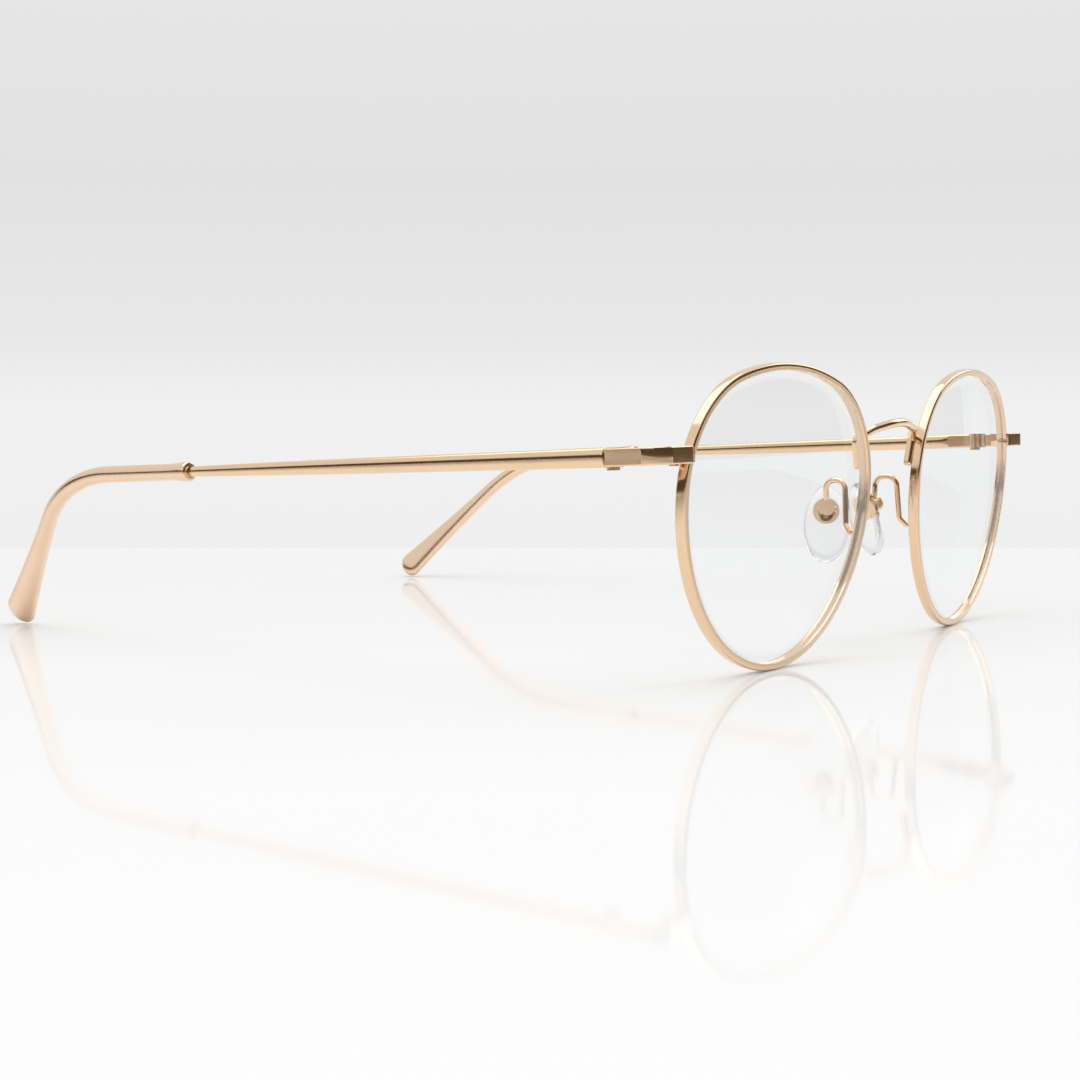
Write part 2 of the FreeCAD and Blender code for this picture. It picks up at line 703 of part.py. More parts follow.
def leaf(body, name, side, toward, height, web_height):
    """A plate on the bar's inner face and the web that joins it to the knuckle."""
    outer = size["bar_offset"] - size["bar_thickness"] / 2
    inner = outer - size["leaf_thickness"]
    start = size["knuckle_radius"] + size["leaf_clearance"]
    plate = sketch_on(body, name + "_plate", "XY_Plane")
    x_pair = (inner * side, outer * side)
    y_pair = (start * toward, size["leaf_length"] * toward)
    rectangle(plate, (x_pair[0], y_pair[0]), (x_pair[1], y_pair[1]))
    pad(body, plate, height)
    web = sketch_on(body, name + "_web", "XY_Plane")
    web_outer = (size["knuckle_radius"] - size["knuckle_gap"]) * side
    web_inner = inner * side * 0.5
    rectangle(web, (web_inner, ZERO), (web_outer, (start + size["leaf_thickness"]) * toward))
    pad(body, web, web_height)


def make_hinge_front(side, end):
    """The front leaf: an upper and a lower knuckle with a slot between them."""
    front = new_body("hinge_front" + end)
    knuckle(front, "front_knuckle" + end, size["knuckle_radius"], size["hinge_stack"])
    leaf(front, "front_leaf" + end, side, -1, size["leaf_height"], size["hinge_stack"])
    slot = sketch_on(front, "front_slot" + end, "XY_Plane")
    circle(slot, (ZERO, ZERO), size["knuckle_radius"] + size["leaf_clearance"] / 2)
    pocket(front, slot, size["middle_knuckle"] + size["knuckle_gap"] * 2)
    bore = sketch_on(front, "front_bore" + end, "XY_Plane")
    circle(bore, (ZERO, ZERO), size["pin_radius"] + size["pin_clearance"])
    pocket(front, bore, size["hinge_stack"] * 2)
    place(front, hinge_place(side))
    return front


def make_hinge_temple(side, end):
    """The temple's leaf: one middle knuckle that turns on the hinge screw."""
    temple = new_body("hinge_temple" + end)
    knuckle(temple, "temple_knuckle" + end, size["knuckle_radius"], size["middle_knuckle"])
    leaf(temple, "temple_leaf" + end, side, 1, size["leaf_height"], size["middle_knuckle"])
    bore = sketch_on(temple, "temple_bore" + end, "XY_Plane")
    circle(bore, (ZERO, ZERO), size["pin_radius"] + size["pin_clearance"])
    pocket(temple, bore, size["hinge_stack"] * 2)
    place(temple, hinge_place(side))
    return temple


def make_hinge_screw(side, end):
    """The fold's axle: a shank through all three knuckles and a slotted head below them."""
    top = size["hinge_stack"] / 2
    low = -top - size["hinge_head_height"]
    shank = rod("hinge_shank" + end, hinge_place(side), size["pin_radius"], -top, top)
    head = rod("hinge_head" + end, hinge_place(side), size["hinge_head_radius"], low, -top)
    half = size["pin_radius"] / 4
    cut = box("hinge_slot" + end, hinge_place(side),
              (-size["hinge_head_radius"], -half, low - size["hinge_head_height"]),
              (size["hinge_head_radius"], half, low + size["hinge_head_height"] / 2))
    whole = combined("Part::MultiFuse", "hinge_screw_whole" + end, shank, head)
    return cut_by("hinge_screw" + end, whole, cut)


# ----------------------------------------------------------------- temple and tip
def bend_path(sketch, start, lead, radius, angle, tail):
    """A straight lead, a bend downward and a straight tail, in the sketch's own plane."""
    turn = math.radians(number(angle))
    bend_start = Vector(number(start) + number(lead), 0, 0)
    centre = bend_start - Vector(0, number(radius), 0)
    bend_end = centre + Vector(math.sin(turn), math.cos(turn), 0) * number(radius)
    far = bend_end + Vector(math.cos(turn), -math.sin(turn), 0) * number(tail)
    round_bend = Part.Circle(centre, Vector(0, 0, 1), number(radius))
    sketch.addGeometry(Part.LineSegment(corner((start, ZERO)), bend_start), False)
    sketch.addGeometry(Part.ArcOfCircle(round_bend, math.pi / 2 - turn, math.pi / 2), False)
    sketch.addGeometry(Part.LineSegment(bend_end, far), False)
    sketch.addConstraint(Sketcher.Constraint("Tangent", 0, 2, 1, 2))
    sketch.addConstraint(Sketcher.Constraint("Tangent", 1, 1, 2, 1))
    sketch.addConstraint(Sketcher.Constraint("Horizontal", 0))
    pin_point(sketch, 0, 1, (start, ZERO))
    bind(sketch, lead, "Distance", 0)
    bind(sketch, radius, "Radius", 1)
    bind(sketch, tail, "Distance", 2)
    index = sketch.addConstraint(Sketcher.Constraint("Angle", 2, -turn))
    sketch.setExpression("Constraints[%d]" % index, (-angle).formula)


def tip_point(along):
    """Where the tip's middle line is at a distance from the mouth, and its direction's drop."""
    lead = size["tip_lead"].value
    radius = size["tip_bend"].value
    full = math.radians(size["tip_angle"].value)
    turned_by = min(max((along - lead) / radius, 0), full)
    straight = max(along - lead - radius * full, 0)
    y = min(along, lead) + radius * math.sin(turned_by) + straight * math.cos(full)
    z = -radius * (1 - math.cos(turned_by)) - straight * math.sin(full)
    return y + size["temple_length"].value, z, turned_by


ACROSS = Placement(Vector(0, 0, 0), Rotation(X_AXIS, 90))


def rolled(side):
    """The plane of the tip's bend, which leans in towards the head: Y along, Z up in it."""
    line = Vector(side * size["bar_offset"].value, 0, 0)
    return Placement(line, Rotation()) * turned(Y_AXIS, side * size["tip_roll"].value)


def tip_station(side, along):
    """A plane across the tip's middle line, at a distance from the mouth."""
    y, z, drop = tip_point(along)
    return rolled(side) * Placement(Vector(0, y, z), Rotation(X_AXIS, -math.degrees(drop))) * ACROSS


def loft(body, name, stations):
    """A smooth skin over ellipses, each given by its plane and its two half sizes."""
    sketches = []
    for index, (plane, half_width, half_height) in enumerate(stations):
        sketch = sketch_on(body, "%s_%d" % (name, index), "XY_Plane", plane)
        ellipse(sketch, (ZERO, ZERO), half_width, half_height)
        sketches.append(sketch)
    feature = body.newObject("PartDesign::AdditiveLoft", name)
    feature.Profile = sketches[0]
    feature.Sections = sketches[1:]
    return feature


def make_temple(side, end):
    """A side bar with a flat for the hinge leaf, drawn down to the core wire inside the tip."""
    temple = new_body("temple" + end)
    line = size["bar_offset"] * side
    length = size["temple_length"]
    bar = []
    for along, half_width, half_height in (
            (size["seam_gap"] / 2, size["temple_thickness"] / 2, size["temple_height"] / 2),
            (size["temple_mid"], size["temple_thickness"] / 2, size["temple_mid_height"] / 2),
            (length, size["temple_end_width"] / 2, size["temple_end_height"] / 2)):
        plane = Placement(Vector(number(line), number(along), 0), Rotation()) * ACROSS
        bar.append((plane, half_width, half_height))
    loft(temple, "temple_bar" + end, bar)

    path = sketch_on(temple, "core_path" + end, "XY_Plane",
                     rolled(side) * Placement(Vector(0, 0, 0), Rotation(Vector(1, 1, 1), 120)))
    sunk = size["temple_end_height"]
    bend_path(path, length - sunk, size["tip_lead"] + sunk, size["tip_bend"], size["tip_angle"],
              size["tip_tail"] - size["core_end"])
    section = sketch_on(temple, "core_section" + end, "XY_Plane",
                        Placement(Vector(number(line), number(length - sunk), 0), Rotation()) * ACROSS)
    circle(section, (ZERO, ZERO), size["core_radius"])
    pipe(temple, section, path)

    flat = sketch_on(temple, "leaf_flat" + end, "XY_Plane")
    face = line - size["bar_thickness"] * side / 2
    beyond = face - size["temple_thickness"] * side
    rectangle(flat, (beyond, -size["leaf_length"]), (face, size["leaf_length"] + size["leaf_thickness"]))
    pocket(temple, flat, size["temple_height"] * 2)
    place(temple, hinge_place(side))
    return temple


def make_temple_tip(side, end):
    """A sleeve over the core wire: a flared mouth, a round bent neck and a flat round-ended paddle."""
    tip = new_body("temple_tip" + end)
    plane = rolled(side) * Placement(Vector(0, 0, 0), Rotation(Vector(1, 1, 1), 120))
    mouth = size["tip_mouth_radius"]
    neck = size["tip_neck_radius"]
    thick = size["tip_paddle_thickness"] / 2
    wide = size["tip_paddle_width"] / 2

    neck_path = sketch_on(tip, "neck_path" + end, "XY_Plane", plane)
    bend_path(neck_path, size["temple_length"], size["tip_lead"], size["tip_bend"], size["tip_angle"],
              size["tip_neck_end"])
    neck_section = sketch_on(tip, "neck_section" + end, "XY_Plane", tip_station(side, 0))
    circle(neck_section, (ZERO, ZERO), neck)
    pipe(tip, neck_section, neck_path)

    ledge = size["tip_ledge"]
    straight = size["tip_mouth_length"].value
    sunk_at = straight + size["tip_mouth_taper"].value
    collar = [(tip_station(side, along), radius, radius + ledge) for along, radius in (
        (0, mouth), (straight, mouth), (sunk_at, neck - size["tip_mouth_sink"]))]
    loft(tip, "tip_mouth" + end, collar).Ruled = True

    bend_length = size["tip_bend"].value * math.radians(size["tip_angle"].value)
    start = size["tip_lead"].value + bend_length + size["tip_neck_end"].value
    rounding = size["tip_end_rounding"].value
    far = size["tip_lead"].value + bend_length + size["tip_tail"].value - rounding
    flare = []
    for share in (0, 0.25, 0.5, 0.75, 1):
        late_share = share ** size["tip_flare_power"].value
        half_width = neck + ledge + (thick - neck - ledge) * share
        half_height = neck + ledge * 2 + (wide - neck - ledge * 2) * late_share
        flare.append((tip_station(side, start + (far - start) * share), half_width, half_height))
    loft(tip, "tip_flare" + end, flare)
    cap = []
    for angle in (0, 30, 55, 75):
        share = math.cos(math.radians(angle))
        beyond = rounding * math.sin(math.radians(angle))
        end_size = (thick * share, wide * share)
        cap.append((tip_station(side, far + beyond), *end_size))
    loft(tip, "tip_cap" + end, cap)

    bore_path = sketch_on(tip, "bore_path" + end, "XY_Plane", plane)
    bend_path(bore_path, size["temple_length"], size["tip_lead"], size["tip_bend"], size["tip_angle"],
              size["tip_tail"] - size["core_end"] + size["bore_clearance"] * 4)
    section = sketch_on(tip, "bore_section" + end, "XY_Plane", tip_station(side, 0))
    circle(section, (ZERO, ZERO), size["core_radius"] + size["bore_clearance"])
    bore = tip.newObject("PartDesign::SubtractivePipe", "tip_bore" + end)
    bore.Profile = section
    bore.Spine = bore_path
    place(tip, hinge_place(side))
    return tip


# ----------------------------------------------------------------- nose pads
def upright(side, out):
    """A plane that looks outward, at a distance out from the pad screw's axis."""
    return Placement(Vector(side * number(out), 0, 0), Rotation(Vector(1, 1, 1), 120))


def outward_pad(body, name, side, low, high, draw):
    """What draw sketches on the outward-looking plane, solid from low to high."""
    middle = (low + high) / 2
    sketch = sketch_on(body, name, "XY_Plane", upright(side, middle))
    draw(sketch)
    pad(body, sketch, high - low)
    return sketch


def make_pad_box(side, end):
    """A small round box with a slot for the pad's tab and a cross hole for its screw."""
    body = new_body("pad_box" + end)
    tab_end = size["tab_width"] / 2
    front = -tab_end - size["tab_clearance"]
    back = front + size["box_length"]
    outward_pad(body, "box_disc" + end, side, front, back,
                lambda sketch: circle(sketch, (ZERO, ZERO), size["box_radius"]))
    slot = sketch_on(body, "box_slot" + end, "XY_Plane")
    half = size["tab_thickness"] / 2 + size["tab_clearance"]
    floor = tab_end + size["tab_clearance"] * 2
    low_x, high_x = (front * 2, floor) if side > 0 else (-floor, -front * 2)
    rectangle(slot, (low_x, -half), (high_x, half))
    pocket(body, slot, size["box_radius"] * 4)
    hole = sketch_on(body, "box_hole" + end, "XZ_Plane")
    circle(hole, (ZERO, ZERO), size["pad_pin_radius"])
    pocket(body, hole, size["box_radius"] * 4)
    place(body, pad_place(side))
    return body


def make_pad_screw(side, end):
    """The screw across the box, which the pad rocks on."""
    frame = pad_place(side) * turned(X_AXIS, 90)
    reach = size["box_radius"]
    shank = rod("pad_shank" + end, frame, size["pad_pin_radius"], -reach, reach)
    head = rod("pad_head" + end, frame, size["pad_head_radius"], reach, reach + size["pad_head_height"])
    return combined("Part::MultiFuse", "pad_screw" + end, shank, head)


def disc_levels():
    """Where the disc's outward and inward faces lie, from the screw's axis."""
    outer = -(size["tab_width"] / 2) - size["tab_clearance"] - size["box_gap"]
    return outer, outer - size["core_disc_thickness"]


def make_pad_core(side, end):
    """A disc moulded into the pad, with a round-ended tab that the screw passes through."""
    body = new_body("pad_core" + end)
    outer, inner = disc_levels()
    outward_pad(body, "core_disc" + end, side, inner, outer,
                lambda sketch: circle(sketch, (ZERO, ZERO), size["core_disc_radius"]))
    half = size["tab_width"] / 2
    tab = sketch_on(body, "core_tab" + end, "XZ_Plane")
    low_x, high_x = (outer, ZERO) if side > 0 else (ZERO, -outer)
    rectangle(tab, (low_x, -half), (high_x, half))
    pad(body, tab, size["tab_thickness"])
    nose = sketch_on(body, "core_tab_end" + end, "XZ_Plane")
    circle(nose, (ZERO, ZERO), half)
    pad(body, nose, size["tab_thickness"])
    hole = sketch_on(body, "core_hole" + end, "XZ_Plane")
    circle(hole, (ZERO, ZERO), size["pad_pin_radius"] + size["pin_clearance"])
    pocket(body, hole, size["tab_thickness"] * 2)
    place(body, pad_place(side))
    return body


def make_nose_pad(side, end):
    """A clear oval cushion with rounded edges, moulded round the disc."""
    body = new_body("nose_pad" + end)
    outer, inner = disc_levels()
    face = outer - size["pad_thickness"]
    outward_pad(body, "pad_oval" + end, side, face, outer,
                lambda sketch: ellipse(sketch, (ZERO, -size["pad_drop"]),
                                       size["pad_width"] / 2, size["pad_height"] / 2))
    doc.recompute()
    rounding = body.newObject("PartDesign::Fillet", "pad_edges" + end)
    rounding.Base = (body.Group[-2], ["Edge%d" % (index + 1) for index, edge in enumerate(body.Shape.Edges)
                                      if edge.isClosed() and edge.Length > size["pad_width"].value * 2])
    rounding.setExpression("Radius", size["pad_edge"].formula)
    seat = sketch_on(body, "pad_seat" + end, "XY_Plane", upright(side, (outer + inner) / 2))
    circle(seat, (ZERO, ZERO), size["core_disc_radius"])
    pocket(body, seat, size["core_disc_thickness"])
    place(body, pad_place(side))
    return body


def make_pad_arm(side, end, wire, pad_box):
    """A gooseneck: up from the rim's back, over in a loop and down into the box's top."""
    radius = size["arm_radius"].value
    back = size["wire_depth"].value / 2 + radius - size["arm_seat"].value
    start = size["arm_start"].value
    foot = front_lean.multVec(nasal_point(size["arm_foot"].value, back))
    rise = front_lean.multVec(nasal_point(size["arm_foot"].value + start, back + start))
    box_top = pad_place(1).multVec(Vector(size["box_length"].value / 4, 0, size["box_radius"].value * 0.8))
    loop = size["arm_loop"].value
    up = Vector(rise.x - radius, rise.y + radius, loop)
    over = Vector(box_top.x + radius, box_top.y, loop)
    corners = [foot, rise, up, over, box_top]
    span = (over - up).Length
    if side < 0:
        corners = [mirrored(point) for point in corners]
    bend = span * size["arm_loop_share"].value
    bends = (size["arm_start_bend"].value, bend, bend)
    arm = bent_wire("arm_wire" + end, Placement(), radius, corners, bends)
    return cut_by("pad_arm" + end, arm, wire, pad_box)


# ----------------------------------------------------------------- the whole pair
pieces = []
wires = []
for side, end in ((-1, "_right"), (1, "_left")):
    rim, wire = make_rim(side, end)
    inside = make_eye_inside(side, end)
    lens = make_lens(side, end)
    pad_box = make_pad_box(side, end)
    wires.append(wire)
    pieces += [rim, lens, make_end_piece(side, end, wire, inside)]
    pieces += make_rim_lock(side, end, wire, inside)
    pieces += [make_hinge_front(side, end), make_hinge_temple(side, end), make_hinge_screw(side, end)]
    pieces += [make_temple(side, end), make_temple_tip(side, end)]
    pieces += [pad_box, make_pad_arm(side, end, wire, pad_box), make_pad_screw(side, end)]
    pieces += [make_pad_core(side, end), make_nose_pad(side, end)]
pieces.append(make_bridge(wires))
doc.recompute()


def whole_box():
    """The closest box round every piece."""
    around = FreeCAD.BoundBox()
    for piece in pieces:
        around.add(piece.Shape.optimalBoundingBox(True, False))
    return around


# the pair stands on the table, and the origin goes under its middle
around = whole_box()
to_origin = Placement(Vector(-around.Center.x, -around.Center.y, -around.ZMin), Rotation())
for thing in placed:
    thing.Placement = to_origin * thing.Placement
doc.recompute()

for thing in doc.Objects:
    if "Invalid" in thing.State or "Error" in thing.State:
        raise RuntimeError("%s did not build: %s" % (thing.Name, thing.State))
for piece in pieces:
    if piece.Shape.isNull() or not piece.Shape.isValid():
        raise RuntimeError("%s has no valid shape" % piece.Name)

os.makedirs("parts", exist_ok=True)
for piece in pieces:
    piece.Label = piece.Name
    piece.Shape.exportStep("parts/%s.step" % piece.Name)
print("pieces: %d, box %s" % (len(pieces), whole_box()))
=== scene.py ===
import json
import math

import bmesh
import bpy
from mathutils import Matrix, Vector


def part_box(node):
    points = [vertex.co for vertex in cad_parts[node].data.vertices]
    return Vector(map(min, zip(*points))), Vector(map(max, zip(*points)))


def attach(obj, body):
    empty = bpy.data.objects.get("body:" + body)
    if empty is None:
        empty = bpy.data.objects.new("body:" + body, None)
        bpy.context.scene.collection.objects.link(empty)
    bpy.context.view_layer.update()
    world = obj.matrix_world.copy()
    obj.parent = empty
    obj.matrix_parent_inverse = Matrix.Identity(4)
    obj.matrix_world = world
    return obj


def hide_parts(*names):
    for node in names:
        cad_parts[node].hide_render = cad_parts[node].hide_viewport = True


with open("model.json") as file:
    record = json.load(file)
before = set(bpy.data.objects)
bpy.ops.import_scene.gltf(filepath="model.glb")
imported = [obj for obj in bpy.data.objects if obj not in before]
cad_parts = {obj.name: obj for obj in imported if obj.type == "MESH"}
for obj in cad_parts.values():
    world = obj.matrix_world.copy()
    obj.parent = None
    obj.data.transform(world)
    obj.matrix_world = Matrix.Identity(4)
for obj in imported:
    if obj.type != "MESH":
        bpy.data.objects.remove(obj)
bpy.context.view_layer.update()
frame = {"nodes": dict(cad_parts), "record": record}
NODES = frame["nodes"]
SIDES = ((-1, "_right"), (1, "_left"))


# ------------------------------------------------------------------ materials
OBJECT_PLACE = 3      # the Object output of Texture Coordinate
BLEND_COLOUR = 2      # the colour output of Mix
PIT_DEPTH = 0.00002   # polishing marks and pits, in metres
COATED_SHINE = 0.09   # how much of its bare shine a coated lens keeps


class Value:
    """A number or colour that runs over a surface, worked with as in a plain sum."""

    def __init__(self, tree, socket):
        self.tree = tree
        self.socket = socket

    def _sum(self, operation, first, second):
        maths = self.tree.nodes.new("ShaderNodeMath")
        maths.operation = operation
        for slot, term in zip(maths.inputs, (first, second)):
            if isinstance(term, Value):
                self.tree.links.new(term.socket, slot)
            else:
                slot.default_value = term
        return Value(self.tree, maths.outputs[0])

    def __add__(self, other):
        return self._sum("ADD", self, other)

    __radd__ = __add__

    def __mul__(self, other):
        return self._sum("MULTIPLY", self, other)

    __rmul__ = __mul__


class Nodes:
    """The nodes of one material or of the studio round the table."""

    def __init__(self, owner, last):
        owner.use_nodes = True
        self.tree = owner.node_tree
        self.tree.nodes.clear()
        self.end = self.tree.nodes.new(last)

    def node(self, kind, settings=(), output=0, **sockets):
        made = self.tree.nodes.new(kind)
        for name, value in dict(settings).items():
            if name == "stops":
                ramp = made.color_ramp
                for index, (place, colour) in enumerate(value):
                    stop = ramp.elements[index] if index < 2 else ramp.elements.new(place)
                    stop.position = place
                    stop.color = colour
            else:
                setattr(made, name, value)
        for name, value in sockets.items():
            self.put(made, name.replace("_", " "), value)
        return Value(self.tree, made.outputs[output])

    def put(self, made, name, value):
        """Fill one socket, found by its name or, written i0, i1 and so on, by its place."""
        numbered = name[0] == "i" and name[1:].isdigit()
        slot = made.inputs[int(name[1:]) if numbered else name]
        if isinstance(value, Value):
            self.tree.links.new(value.socket, slot)
        else:
            slot.default_value = value

    def surface(self, shader):
        self.tree.links.new(shader.socket, self.end.inputs["Surface"])


class Finish(Nodes):
    """One material and its nodes."""

    def __init__(self, name):
        self.material = bpy.data.materials.new(name)
        super().__init__(self.material, "ShaderNodeOutputMaterial")

    def surface(self, shader):
        super().surface(shader)
        return self.material


def gold(name, light, deep, roughness, grain, wear):
    """Polished plating: a slow change of tone, fine polishing marks and tiny pits."""
    finish = Finish(name)
    place = finish.node("ShaderNodeTexCoord", output=OBJECT_PLACE)
    cloud = finish.node("ShaderNodeTexNoise", Vector=place, Scale=160.0, Detail=3.0)
    marks = finish.node("ShaderNodeTexNoise", Vector=place, Scale=4200.0, Detail=2.0,
                        Roughness=0.6)
    pits = finish.node("ShaderNodeTexVoronoi", {"feature": "F1"}, Vector=place, Scale=2600.0)
    tone = finish.node("ShaderNodeMix", {"data_type": "RGBA"}, output=BLEND_COLOUR,
                       Factor=cloud, i6=light, i7=deep)
    rough = roughness + wear * cloud * marks
    bump = finish.node("ShaderNodeBump", Strength=grain, Distance=PIT_DEPTH,
                       Height=marks + pits * 0.5)
    metal = finish.node("ShaderNodeBsdfPrincipled", Metallic=1.0, Base_Color=tone,
                        Roughness=rough, Normal=bump)
    return finish.surface(metal)


GOLD = gold("polished_champagne_gold", light=(0.88, 0.66, 0.45, 1), deep=(0.82, 0.58, 0.37, 1),
            roughness=0.08, grain=0.05, wear=0.16)
GOLD_SATIN = gold("softer_gold_tips", light=(0.89, 0.67, 0.49, 1), deep=(0.84, 0.60, 0.42, 1),
                  roughness=0.15, grain=0.08, wear=0.22)
STEEL = gold("gold_screw_steel", light=(0.80, 0.56, 0.38, 1), deep=(0.66, 0.46, 0.32, 1),
             roughness=0.18, grain=0.10, wear=0.20)


def clear_lens(name):
    """Clear, coated plastic: almost all light goes through, and a little shines off."""
    finish = Finish(name)
    through = finish.node("ShaderNodeBsdfTransparent", Color=(0.995, 0.997, 0.997, 1))
    shine = finish.node("ShaderNodeBsdfGlossy", Color=(0.92, 0.95, 1.0, 1), Roughness=0.01)
    edge = finish.node("ShaderNodeFresnel", IOR=1.42)
    return finish.surface(finish.node("ShaderNodeMixShader", i0=edge * COATED_SHINE,
                                      i1=through, i2=shine))


def silicone(name):
    """Clear soft silicone with a slightly cloudy skin."""
    finish = Finish(name)
    place = finish.node("ShaderNodeTexCoord", output=OBJECT_PLACE)
    cloud = finish.node("ShaderNodeTexNoise", Vector=place, Scale=700.0, Detail=2.0)
    rough = 0.08 + 0.12 * cloud
    body = finish.node("ShaderNodeBsdfPrincipled", Base_Color=(0.97, 0.975, 0.98, 1),
                       Roughness=rough, IOR=1.41, Transmission_Weight=1.0)
    return finish.surface(body)


def ground_edge(name):
    """The lens's fine-ground edge, a faint frosty band."""
    finish = Finish(name)
    place = finish.node("ShaderNodeTexCoord", output=OBJECT_PLACE)
    grit = finish.node("ShaderNodeTexNoise", Vector=place, Scale=6000.0, Detail=1.0)
    rough = 0.35 + 0.2 * grit
    edge = finish.node("ShaderNodeBsdfPrincipled", Base_Color=(0.93, 0.94, 0.95, 1),
                       Roughness=rough, Alpha=0.22)
    return finish.surface(edge)


LENS = clear_lens("clear_coated_lens")
LENS_EDGE = ground_edge("ground_lens_edge")
PAD = silicone("clear_silicone_pad")


def dress(thing, material):
    thing.data.materials.clear()
    thing.data.materials.append(material)
    for polygon in thing.data.polygons:
        polygon.material_index = 0


# ------------------------------------------------------------- sizes of the pair, in millimetres
MM = 0.001
EYE_HALF = 25.25
WIDEST = 26.0
BROW = 18.2
CORNER = BROW * 0.93
BOTTOM = EYE_HALF ** 2 / WIDEST
NOSE_GAP = 19.5
EYE_HEIGHT = WIDEST + BROW
WIRE_WIDE = 1.05
WIRE_DEEP = 1.7
LEAN, WRAP, EYE_TURN = 3.4, 4.7, 0.8
HINGE_BACK = 8.0
HINGE_UP = WIDEST + 5.95
TEMPLE_SLOPE = 2.57
BAR_OUT = 1.9
BAR_THICK, BAR_TALL = 1.3, 2.45
DISH_BACK, DISH_LONG, DISH_DEEP = 3.0, 2.6, 0.16
TEMPLE_LONG = 77.0
TEMPLE_COUNTER = 36.0          # from here back the bar is a plain taper
LEAF_FLAT_LONG = 6.4           # the flat on the inside that the hinge leaf lies on
LEAF_FLAT_OUT = 0.65
SLEEVE = 1.35                  # the sleeve's radius at its neck
PADDLE_WIDE = 2.9              # half the width of the tip's round end
PAD_TURN, PAD_LEAN = 28.0, 16.0
TIP_LEAD, TIP_BEND, TIP_TURN, TIP_TAIL, TIP_ROLL = 17.8, 26.0, 46.5, 26.85, 25.5

JOINTS = {joint["name"]: joint for joint in frame["record"]["behaviour"]["joints"]}
HINGE = [value / MM for value in JOINTS["temple_left_fold"]["pos_m"]]
TO_ROW = Matrix.Scale(MM, 4) @ Matrix.Translation((0, HINGE[1] - HINGE_BACK, HINGE[2] - HINGE_UP))


def turned(degrees, axis):
    return Matrix.Rotation(math.radians(degrees), 4, axis)


def eye_place(side):
    middle = (EYE_HEIGHT + WIRE_WIDE) / 2
    spacing = Matrix.Translation((side * (EYE_HALF + NOSE_GAP / 2), 0, middle))
    return (TO_ROW @ turned(LEAN, "X") @ spacing
            @ turned(side * WRAP, "Z") @ turned(-side * EYE_TURN, "Y"))


def hinge_place(side):
    hinge = Matrix.Translation((side * HINGE[0], HINGE_BACK, HINGE_UP))
    return TO_ROW @ hinge @ turned(-TEMPLE_SLOPE, "X")


def pad_place(side):
    joint = JOINTS["nose_pad_%s_rock" % ("left" if side > 0 else "right")]
    return (Matrix.Translation(joint["pos_m"]) @ turned(-side * PAD_TURN, "Z")
            @ turned(-side * PAD_LEAN, "Y") @ Matrix.Scale(MM, 4))


# ------------------------------------------------------------------ mesh making
def add_piece(name, points, faces, material, body, node, slot, crisp=True):
    """A smooth-shaded mesh that stands for one node and rides on its body."""
    mesh = bpy.data.meshes.new(name)
    mesh.from_pydata([tuple(point) for point in points], [], faces)
    shape = bmesh.new()
    shape.from_mesh(mesh)
    bmesh.ops.remove_doubles(shape, verts=shape.verts, dist=1e-8)
    bmesh.ops.recalc_face_normals(shape, faces=shape.faces)
    shape.to_mesh(mesh)
    shape.free()
    mesh.materials.append(material)
    for polygon in mesh.polygons:
        polygon.use_smooth = True
    thing = bpy.data.objects.new(name, mesh)
    bpy.context.scene.collection.objects.link(thing)
    if crisp:
        weights = thing.modifiers.new("even_shading", "WEIGHTED_NORMAL")
        weights.mode = "FACE_AREA"
        weights.weight = 80
    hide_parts(node)
    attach(thing, body)
    return thing


def skin(rings):
    """Points and faces of a closed skin over rings with equal numbers of points."""
    count = len(rings[0])
    points = [point for ring in rings for point in ring]
    faces = []
    for row in range(len(rings) - 1):
        for index in range(count):
            onward = (index + 1) % count
            faces.append((row * count + index, row * count + onward,
                          (row + 1) * count + onward, (row + 1) * count + index))
    last = (len(rings) - 1) * count
    faces.append(tuple(range(count)))
    faces.append(tuple(range(last, last + count)))
    return points, faces


def swing(start, finish, share):
    """A spoke turned part of the way from one spoke to another of the same length."""
    angle = start.angle(finish)
    if angle < 1e-6:
        return start
    near, far = math.sin((1 - share) * angle), math.sin(share * angle)
    return (start * near + finish * far) / math.sin(angle)


def rounded_section(corners, steps=5):
    """A closed outline with each corner rounded: corners are (x, y, radius)."""
    outline = []
    count = len(corners)
    for index, (x, y, radius) in enumerate(corners):
        if radius == 0:
            outline.append((x, y))
            continue
        here = Vector((x, y))
        before = (Vector(corners[index - 1][:2]) - here).normalized()
        after = (Vector(corners[(index + 1) % count][:2]) - here).normalized()
        half = before.angle(after) / 2
        cut = radius / math.tan(half)
        centre = here + (before + after).normalized() * (radius / math.sin(half))
        start = here + before * cut - centre
        finish = here + after * cut - centre
        for step in range(steps + 1):
            outline.append(tuple(centre + swing(start, finish, step / steps)))
    return outline


def round_section(radius, count):
    turns = [2 * math.pi * index / count for index in range(count)]
    return [(radius * math.cos(turn), radius * math.sin(turn)) for turn in turns]


def bent_line(corners, radii, spacing=0.25):
    """Straight runs joined by tangent arcs, as points close together."""
    corners = [Vector(corner) for corner in corners]
    line = [corners[0]]
    for index, radius in enumerate(radii, start=1):
        here = corners[index]
        back = (corners[index - 1] - here).normalized()
        onward = (corners[index + 1] - here).normalized()
        half_turn = (math.pi - back.angle(onward)) / 2
        arc_start = here + back * radius * math.tan(half_turn)
        centre = here + (back + onward).normalized() * (radius / math.cos(half_turn))
        spoke = arc_start - centre
        other = here + onward * radius * math.tan(half_turn) - centre
        steps = max(6, int(2 * half_turn * radius / spacing))
        for step in range(steps + 1):
            line.append(centre + swing(spoke, other, step / steps))
    line.append(corners[-1])
    return line


